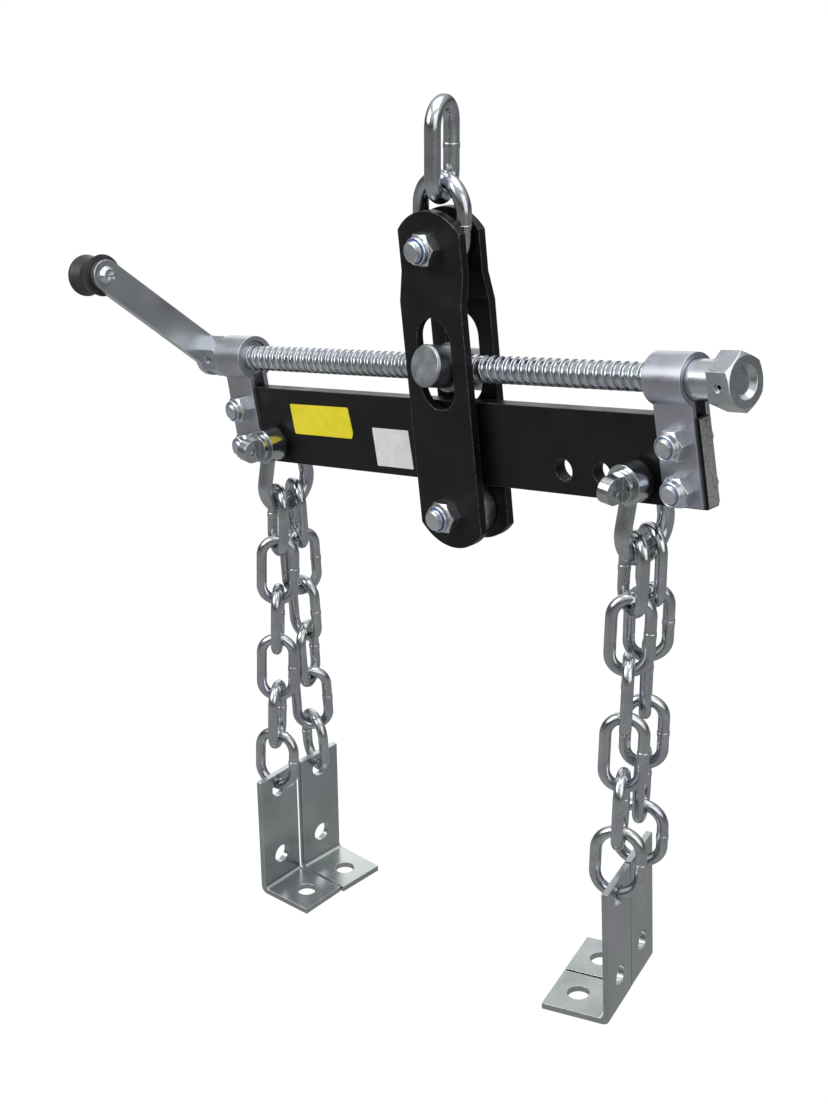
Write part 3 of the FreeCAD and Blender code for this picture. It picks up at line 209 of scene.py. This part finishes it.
def zinc(name, dark, light, rough, grain=260.0, speckle=0.40, worn=0.5):
    """Zinc plate: bluish grey metal with faint clouds, a green and violet tinge and worn edges."""
    shader = Shader(name)
    shader.set(Metallic=1.0)
    patches = shader.noise(grain * PATCH_SCALE, detail=4.0)
    spots = shader.noise(grain * SPOT_SCALE, detail=2.0)
    mixed = shader.maths("ADD", shader.maths("MULTIPLY", spots, speckle),
                         shader.maths("MULTIPLY", patches, 1 - speckle))
    edge, rounded = shader.edges(width=0.7 * MM)
    middle = tuple((a + b) / 2 for a, b in zip(dark, light))
    colour = shader.ramp(mixed, (0.30, dark), (0.50, middle), (0.70, light))
    clouds = shader.noise(grain * TINGE_SCALE, detail=2.0)
    tinge = shader.ramp(clouds, (0.36, VIOLET_TINGE), (0.64, GREEN_TINGE))
    colour = shader.mix(1.0, colour, tinge, "MULTIPLY")
    colour = shader.mix(shader.maths("MULTIPLY", edge, worn), colour, WORN_ZINC)
    shader.drive(Base_Color=colour, Roughness=shader.span(mixed, *rough))
    pits = shader.noise(grain * PIT_SCALE, detail=2.0)
    shader.bump(pits, strength=0.2 * speckle, distance=0.10 * MM, normal=rounded)
    return shader.material


def black_paint(name, sawn_ends_and_reflection=False):
    """Semi-gloss black paint over rolled steel, rubbed through on the edges and on sawn ends. The light line
    along every edge is partly worn paint and partly a painted highlight. The light end faces are partly bare
    steel and partly a painted reflection.
    """
    shader = Shader(name)
    shader.set(Specular_IOR_Level=0.2, Coat_Weight=0.03, Coat_Roughness=0.25)
    cloud = shader.noise(scale=45.0, detail=4.0)
    peel = shader.noise(scale=700.0, detail=2.0)
    chips = shader.noise(scale=520.0, detail=3.0)
    edge, rounded = shader.edges(width=0.8 * MM)
    # The chip mask never falls below 0.10 on an edge, so every edge carries a thin light line that is partly
    # worn paint and partly a painted highlight.
    chips_and_edge_highlight = shader.span(chips, low=0.10, high=0.75, start=0.40, end=0.66)
    wear_and_highlight = shader.maths("MULTIPLY", edge, chips_and_edge_highlight)
    # On the bar's end faces the light grey is partly sawn bare steel and partly a painted reflection.
    if sawn_ends_and_reflection:
        along = shader.dot(shader.place, bar_along)
        off_centre = shader.maths("ABSOLUTE", shader.maths("SUBTRACT", along, bar_centre), 0.0)
        end = shader.span(off_centre, low=0.0, high=1.0, start=bar_half - SAWN_REFLECTION_FROM, end=bar_half - SAWN_REFLECTION_TO)
        scraped_and_reflection = shader.span(chips, low=0.45, high=1.0, start=0.34, end=0.52)
        wear_and_highlight = shader.maths("MAXIMUM", wear_and_highlight, shader.maths("MULTIPLY", end, scraped_and_reflection))
    paint = shader.ramp(cloud, (0.3, DARK_PAINT), (0.7, LIGHT_PAINT))
    shader.drive(Base_Color=shader.mix(wear_and_highlight, paint, BARE_STEEL_AND_HIGHLIGHT),
                 Metallic=shader.maths("MULTIPLY", wear_and_highlight, 0.7),
                 Roughness=shader.span(cloud, low=0.34, high=0.46))
    shader.bump(peel, strength=0.12, distance=0.10 * MM, normal=rounded)
    return shader.material


def rubber():
    """Matte moulded rubber."""
    shader = Shader("black_rubber_look")
    shader.set(Specular_IOR_Level=0.45)
    grain = shader.noise(scale=1500.0, detail=2.0)
    cloud = shader.noise(scale=120.0, detail=3.0)
    colour = shader.ramp(cloud, (0.3, DARK_RUBBER), (0.7, LIGHT_RUBBER))
    edge, rounded = shader.edges(width=1.0 * MM)
    shader.drive(Base_Color=shader.mix(shader.maths("MULTIPLY", edge, 0.5), colour, RUBBED_RUBBER),
                 Roughness=shader.span(cloud, low=0.40, high=0.55))
    shader.bump(grain, strength=0.25, distance=0.10 * MM, normal=rounded)
    return shader.material


def nylon():
    """Blue nylon of the locking rings."""
    shader = Shader("blue_nylon_look")
    shader.set(Specular_IOR_Level=0.45, Subsurface_Weight=0.05)
    cloud = shader.noise(scale=600.0, detail=3.0)
    shader.drive(Base_Color=shader.ramp(cloud, (0.3, DARK_NYLON), (0.7, LIGHT_NYLON)),
                 Roughness=shader.span(cloud, low=0.38, high=0.55))
    shader.bump(shader.noise(scale=2200.0, detail=2.0), strength=0.2, distance=0.06 * MM)
    return shader.material


def label(name, first, second):
    """Blank film: plain colour with faint rubbing and dirt."""
    shader = Shader(name)
    shader.set(Specular_IOR_Level=0.5, Coat_Weight=0.15, Coat_Roughness=0.25)
    cloud = shader.noise(scale=160.0, detail=5.0)
    scuff = shader.noise(scale=900.0, detail=3.0)
    base = shader.ramp(cloud, (0.3, first), (0.75, second))
    dirt = shader.span(scuff, low=0.0, high=0.10, start=0.62, end=0.80)
    shader.drive(Base_Color=shader.mix(dirt, base, DIRT), Roughness=shader.span(cloud, low=0.35, high=0.5))
    shader.bump(scuff, strength=0.08, distance=0.05 * MM)
    return shader.material


LOOKS = {
    "zinc": zinc("zinc_look", (0.44, 0.45, 0.475), (0.66, 0.675, 0.71), (0.22, 0.34)),
    "strap": zinc("strap_zinc_look", (0.42, 0.42, 0.45), (0.56, 0.56, 0.595), (0.30, 0.42),
                  grain=160.0, speckle=0.25),
    "arm": zinc("arm_zinc_look", (0.58, 0.59, 0.615), (0.70, 0.71, 0.735), (0.26, 0.34),
                grain=140.0, speckle=0.2),
    "screw": zinc("screw_zinc_look", (0.46, 0.475, 0.50), (0.72, 0.735, 0.76), (0.16, 0.26),
                  grain=300.0, worn=0.3),
    "nut": zinc("trunnion_zinc_look", (0.26, 0.265, 0.28), (0.50, 0.51, 0.53), (0.30, 0.44), grain=420.0),
    "chain": zinc("chain_zinc_look", (0.38, 0.385, 0.40), (0.62, 0.63, 0.645), (0.13, 0.24), grain=220.0),
    "bracket": zinc("bracket_zinc_look", (0.385, 0.402, 0.40), (0.525, 0.542, 0.538), (0.20, 0.30),
                    grain=90.0, speckle=0.15),
    "bolts": zinc("bolt_zinc_look", (0.56, 0.575, 0.60), (0.80, 0.81, 0.83), (0.22, 0.34), grain=420.0),
    "paint": black_paint("plate_paint_look"),
    "bar": black_paint("bar_paint_look", sawn_ends_and_reflection=True),
    "rubber": rubber(),
    "nylon": nylon(),
}

LOOK_OF_NODE = {
    "main_bar": "bar",
    "front_plate": "paint",
    "rear_plate": "paint",
    "knob": "rubber",
    "trunnion_nut": "nut",
    "screw": "screw",
    "crank_arm": "arm",
    "knob_screw": "bolts",
}
# Looks by a part of the node's name, the first that fits.
LOOK_OF_KIND = (
    ("_rings", "nylon"),
    ("_bracket", "bracket"),
    ("_strap", "strap"),
    ("_link", "chain"),
    ("_shackle", "chain"),
    ("_bolts", "bolts"),
    ("_nuts", "bolts"),
)


def look_of(name):
    if name in LOOK_OF_NODE:
        return LOOK_OF_NODE[name]
    return next((look for kind, look in LOOK_OF_KIND if kind in name), "zinc")


for name, item in nodes.items():
    item.data.materials.clear()
    item.data.materials.append(LOOKS[look_of(name)])


# Small pieces that the solids leave plain: nut lips, bolt threads and two blank labels.

THREAD_STEPS = 28
THREAD_SETBACK = 0.9 * MM
TIP_DEPTH = 0.2 * MM
# A thread's section, in pitches: half its foot, how deep the foot is sunk, its height and half its crest.
THREAD_HALF = 0.42
THREAD_SUNK = 0.10
THREAD_HEIGHT = 0.38
THREAD_CREST = THREAD_HALF * 0.2
# The ridge grows and fades over one part in this many of its length.
THREAD_FADE = 6

LIP_STEPS = 72
# A nut lip's section: outwards from the ring's rim and forwards from its front.
LIP_PROFILE = tuple((outward * MM, forward * MM) for outward, forward in (
    (0.62, -1.3), (0.66, -0.5), (0.48, 0.10), (0.22, 0.38),
    (-0.05, 0.46), (-0.30, 0.38), (-0.42, 0.10), (-0.36, -0.30)))

FILM_THICK = 0.30 * MM
CORNER_SHARES = (0.0, 0.25, 0.5, 0.75, 1.0)
# The rings of a label's edge: scale about its middle, and share of its thickness.
FILM_RINGS = ((1.0, 0.0), (1.0, 0.7), (0.994, 1.0))

MERGE_DISTANCE = 0.001 * MM


def add_piece(name, form, look, body):
    """Turns a bmesh into a piece that rides on a body."""
    bmesh.ops.recalc_face_normals(form, faces=form.faces)
    mesh = bpy.data.meshes.new(name)
    form.to_mesh(mesh)
    form.free()
    mesh.materials.append(look)
    item = bpy.data.objects.new(name, mesh)
    collection.objects.link(item)
    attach(item, body)


def bridge(form, first, second):
    """Faces between two rings of as many points."""
    count = len(first)
    for a in range(count):
        b = (a + 1) % count
        form.faces.new((first[a], first[b], second[b], second[a]))


def cap(form, first, last):
    """Closes both ends of a row of rings."""
    form.faces.new(first)
    form.faces.new(list(reversed(last)))


def islands(mesh):
    """The separate shells of a mesh, as lists of points."""
    form = bmesh.new()
    form.from_mesh(mesh)
    bmesh.ops.remove_doubles(form, verts=form.verts, dist=MERGE_DISTANCE)
    left = set(form.verts)
    shells = []
    while left:
        stack = [left.pop()]
        shell = []
        while stack:
            vert = stack.pop()
            shell.append(vert.co.copy())
            for edge in vert.link_edges:
                other = edge.other_vert(vert)
                if other in left:
                    left.remove(other)
                    stack.append(other)
        shells.append(shell)
    form.free()
    return shells


def around(turn, reach):
    """A point at this turn and reach round the Y axis."""
    return Vector((math.cos(turn) * reach, 0, math.sin(turn) * reach))


def thread(form, centre, radius, start, length, pitch):
    """A flat-topped ridge that winds along +Y round a bolt's end."""
    count = int(length / pitch * THREAD_STEPS)
    rows = []
    for step in range(count + 1):
        share = step / count
        turn = 2 * math.pi * step / THREAD_STEPS
        height = THREAD_HEIGHT * min(1.0, THREAD_FADE * share, THREAD_FADE * (1 - share))
        along = start + pitch * step / THREAD_STEPS
        section = ((-THREAD_SUNK, -THREAD_HALF), (height, -THREAD_CREST),
                   (height, THREAD_CREST), (-THREAD_SUNK, THREAD_HALF))
        ring = []
        for lift, shift in section:
            place = centre + around(turn, radius + lift * pitch)
            place.y = along + shift * pitch
            ring.append(form.verts.new(place))
        rows.append(ring)
    for first, second in zip(rows, rows[1:]):
        bridge(form, first, second)
    cap(form, rows[0], rows[-1])


def bolt_threads(name, node, body, radius, length, pitch):
    form = bmesh.new()
    for shell in islands(nodes[node].data):
        front = min(point.y for point in shell)
        tip = [point for point in shell if point.y < front + TIP_DEPTH]
        centre = sum(tip, Vector()) / len(tip)
        thread(form, centre, radius, front + THREAD_SETBACK, length, pitch)
    add_piece(name, form, LOOKS["bolts"], body)


def crimps(name, node, body):
    """The rolled lip of each locking nut, which holds its ring."""
    form = bmesh.new()
    for shell in islands(nodes[node].data):
        centre = sum(shell, Vector()) / len(shell)
        front = min(point.y for point in shell)
        reach = max(math.hypot(point.x - centre.x, point.z - centre.z) for point in shell)
        rows = []
        for step in range(LIP_STEPS):
            turn = 2 * math.pi * step / LIP_STEPS
            ring = []
            for outward, forward in LIP_PROFILE:
                place = centre + around(turn, reach + outward)
                place.y = front - forward
                ring.append(form.verts.new(place))
            rows.append(ring)
        for first, second in zip(rows, rows[1:] + rows[:1]):
            bridge(form, first, second)
    for face in form.faces:
        face.smooth = True
    add_piece(name, form, LOOKS["bolts"], body)


def film(name, corners, look, rounding):
    """A thin label on the bar's front face: corners in mm along the bar and up from its bottom edge."""
    points = [Vector((along, up)) * MM for along, up in corners]
    outline = []
    for index, point in enumerate(points):
        before = (points[index - 1] - point).normalized()
        after = (points[(index + 1) % len(points)] - point).normalized()
        for share in CORNER_SHARES:
            outline.append(point + before * rounding * (1 - share) ** 2 + after * rounding * share ** 2)
    middle = sum(points, Vector((0, 0))) / len(points)
    form = bmesh.new()
    rings = []
    for inset, lift in FILM_RINGS:
        ring = []
        for point in outline:
            flat = middle + (point - middle) * inset
            place = bar_middle + bar_along * flat.x + bar_up * flat.y
            place.y = bar_front - FILM_THICK * lift
            ring.append(form.verts.new(place))
        rings.append(ring)
    for lower, upper in zip(rings, rings[1:]):
        bridge(form, lower, upper)
    cap(form, rings[-1], rings[0])
    add_piece(name, form, look, "bar")


crimps("hanger_nut_lips", "hanger_nut_rings", "hanger")
crimps("strap_nut_lips", "strap_nut_rings", "bar")
bolt_threads("hanger_bolt_threads", "hanger_bolts", "hanger", radius=6.0 * MM, length=2.6 * MM, pitch=1.0 * MM)
bolt_threads("strap_bolt_threads", "strap_bolts", "bar", radius=5.0 * MM, length=1.6 * MM, pitch=0.8 * MM)
film("bar_label_left",
     ((-140.2, 40.4), (-81.8, 40.8), (-80.4, 24.5), (-82.2, 20.6), (-139.4, 20.6)),
     label("yellow_film_look", (0.80, 0.68, 0.012), (0.90, 0.79, 0.03)), rounding=1.2 * MM)
film("bar_label_middle",
     ((-60.9, 29.2), (-27.4, 29.2), (-27.4, 4.8), (-60.9, 4.8)),
     label("white_film_look", (0.72, 0.71, 0.72), (0.84, 0.83, 0.83)), rounding=0.8 * MM)


# Camera, from a fit to edges and holes in the photograph (828 by 1104).

CAMERA_PLACE = Vector((758.84, -729.41, 215.70)) * MM
CAMERA_TARGET = Vector((-72.853, 43.935, -308.132)) * MM
CAMERA_ROLL = math.radians(-0.446)
FOCAL_PIXELS = 1884.68
FRAME_HEIGHT = 1104
SENSOR_HEIGHT = 24.0
NEAREST = 0.01
FARTHEST = 60


def facing(place, target):
    """The turn that makes a camera or lamp at place look at target."""
    return (target - place).to_track_quat("-Z", "Y")


def add_to_stage(name, data, place, turn):
    item = bpy.data.objects.new(name, data)
    collection.objects.link(item)
    item.location = place
    item.rotation_mode = "QUATERNION"
    item.rotation_quaternion = turn
    return item


camera = bpy.data.cameras.new("camera")
camera.sensor_fit = "VERTICAL"
camera.sensor_height = SENSOR_HEIGHT
camera.lens = FOCAL_PIXELS * SENSOR_HEIGHT / FRAME_HEIGHT
camera.clip_start = NEAREST
camera.clip_end = FARTHEST
camera_turn = facing(CAMERA_PLACE, CAMERA_TARGET) @ Quaternion((0, 0, 1), CAMERA_ROLL)
camera_item = add_to_stage("camera", camera, CAMERA_PLACE, camera_turn)
bpy.context.scene.camera = camera_item


# Floor, surroundings and lamps.

WHITE = (1, 1, 1, 1)
FLOOR_DROP = 0.30
FLOOR_HALF = 14
FLOOR_GREY = 0.24
FLOOR_GLOW = 1.05
# How far the white shows in place of the grey floor or room: to the camera, and in metal.
FLOOR_SEEN = 0.96
ROOM_SEEN = 1.0
MIRRORED_SHARE = 0.08
ROOM_STRENGTH = 0.8
ROOM_TINT = (1.0, 1.01, 1.02)
# The room's grey by height, from straight down (0) to straight up (1).
ROOM_BANDS = ((0.0, 0.22), (0.47, 0.03), (0.57, 0.05), (0.66, 0.45), (0.85, 1.0), (1.0, 1.0))

LAMPS_AIM = Vector((0, 0, -0.28))
# Name, place and size in metres, power in watts.
LAMPS = (
    ("key", (-0.7, -1.5, 0.9), 1.2, 24),
    ("side", (1.7, -0.2, 0.5), 1.6, 11),
    ("top", (0.1, 0.2, 1.6), 2.0, 20),
    ("rim", (-1.3, 1.05, 0.05), 1.0, 4),
)


def pale_share(tree, seen):
    """How far the white surroundings show: nearly in full to the camera, and weaker in metal."""
    path = tree.nodes.new("ShaderNodeLightPath")
    shares = []
    for ray, share in (("Is Camera Ray", seen), ("Is Glossy Ray", MIRRORED_SHARE), ("Is Transmission Ray", 1.0)):
        node = tree.nodes.new("ShaderNodeMath")
        node.operation = "MULTIPLY"
        node.inputs[1].default_value = share
        tree.links.new(path.outputs[ray], node.inputs[0])
        shares.append(node.outputs[0])
    while len(shares) > 1:
        node = tree.nodes.new("ShaderNodeMath")
        node.operation = "MAXIMUM"
        tree.links.new(shares.pop(), node.inputs[0])
        tree.links.new(shares.pop(), node.inputs[1])
        shares.append(node.outputs[0])
    return shares[0]


def blend_to_white(tree, output, seen, plain, white):
    """Ends a node tree with its plain shader, and the white one by pale_share."""
    blend = tree.nodes.new("ShaderNodeMixShader")
    tree.links.new(pale_share(tree, seen), blend.inputs[0])
    tree.links.new(plain.outputs[0], blend.inputs[1])
    tree.links.new(white.outputs[0], blend.inputs[2])
    tree.links.new(blend.outputs[0], tree.nodes.new(output).inputs["Surface"])


floor_mesh = bpy.data.meshes.new("floor")
floor_form = bmesh.new()
bmesh.ops.create_grid(floor_form, x_segments=2, y_segments=2, size=FLOOR_HALF)
floor_form.to_mesh(floor_mesh)
floor_form.free()
floor = bpy.data.objects.new("floor", floor_mesh)
collection.objects.link(floor)
floor.location = (0, 0, cad_box[0][2] - FLOOR_DROP)

floor_look = bpy.data.materials.new("floor_look")
floor_look.use_nodes = True
floor_tree = floor_look.node_tree
floor_tree.nodes.clear()
matte = floor_tree.nodes.new("ShaderNodeBsdfDiffuse")
matte.inputs["Color"].default_value = (FLOOR_GREY, FLOOR_GREY, FLOOR_GREY, 1)
glow = floor_tree.nodes.new("ShaderNodeEmission")
glow.inputs["Color"].default_value = WHITE
glow.inputs["Strength"].default_value = FLOOR_GLOW
blend_to_white(floor_tree, "ShaderNodeOutputMaterial", FLOOR_SEEN, matte, glow)
floor_mesh.materials.append(floor_look)

world = bpy.data.worlds.new("studio")
bpy.context.scene.world = world
world.use_nodes = True
world_tree = world.node_tree
world_tree.nodes.clear()
room = world_tree.nodes.new("ShaderNodeBackground")
room.inputs["Strength"].default_value = ROOM_STRENGTH
white = world_tree.nodes.new("ShaderNodeBackground")
white.inputs["Color"].default_value = WHITE
white.inputs["Strength"].default_value = 1.0
coord = world_tree.nodes.new("ShaderNodeTexCoord")
split = world_tree.nodes.new("ShaderNodeSeparateXYZ")
height = world_tree.nodes.new("ShaderNodeMapRange")
height.inputs["From Min"].default_value = -1
height.inputs["From Max"].default_value = 1
ramp = world_tree.nodes.new("ShaderNodeValToRGB")
bands = ramp.color_ramp.elements
for place, grey in ROOM_BANDS:
    bands.new(place).color = (*(grey * tint for tint in ROOM_TINT), 1)
# The ramp's own two stops go.
bands.remove(bands[-1])
bands.remove(bands[0])
world_tree.links.new(coord.outputs["Generated"], split.inputs[0])
world_tree.links.new(split.outputs["Z"], height.inputs["Value"])
world_tree.links.new(height.outputs["Result"], ramp.inputs["Fac"])
world_tree.links.new(ramp.outputs["Color"], room.inputs["Color"])
blend_to_white(world_tree, "ShaderNodeOutputWorld", ROOM_SEEN, room, white)

for name, place, extent, power in LAMPS:
    lamp = bpy.data.lights.new(name, "AREA")
    lamp.shape = "SQUARE"
    lamp.size = extent
    lamp.energy = power
    add_to_stage(name, lamp, place, facing(Vector(place), LAMPS_AIM))

bpy.context.scene.view_settings.view_transform = "Standard"
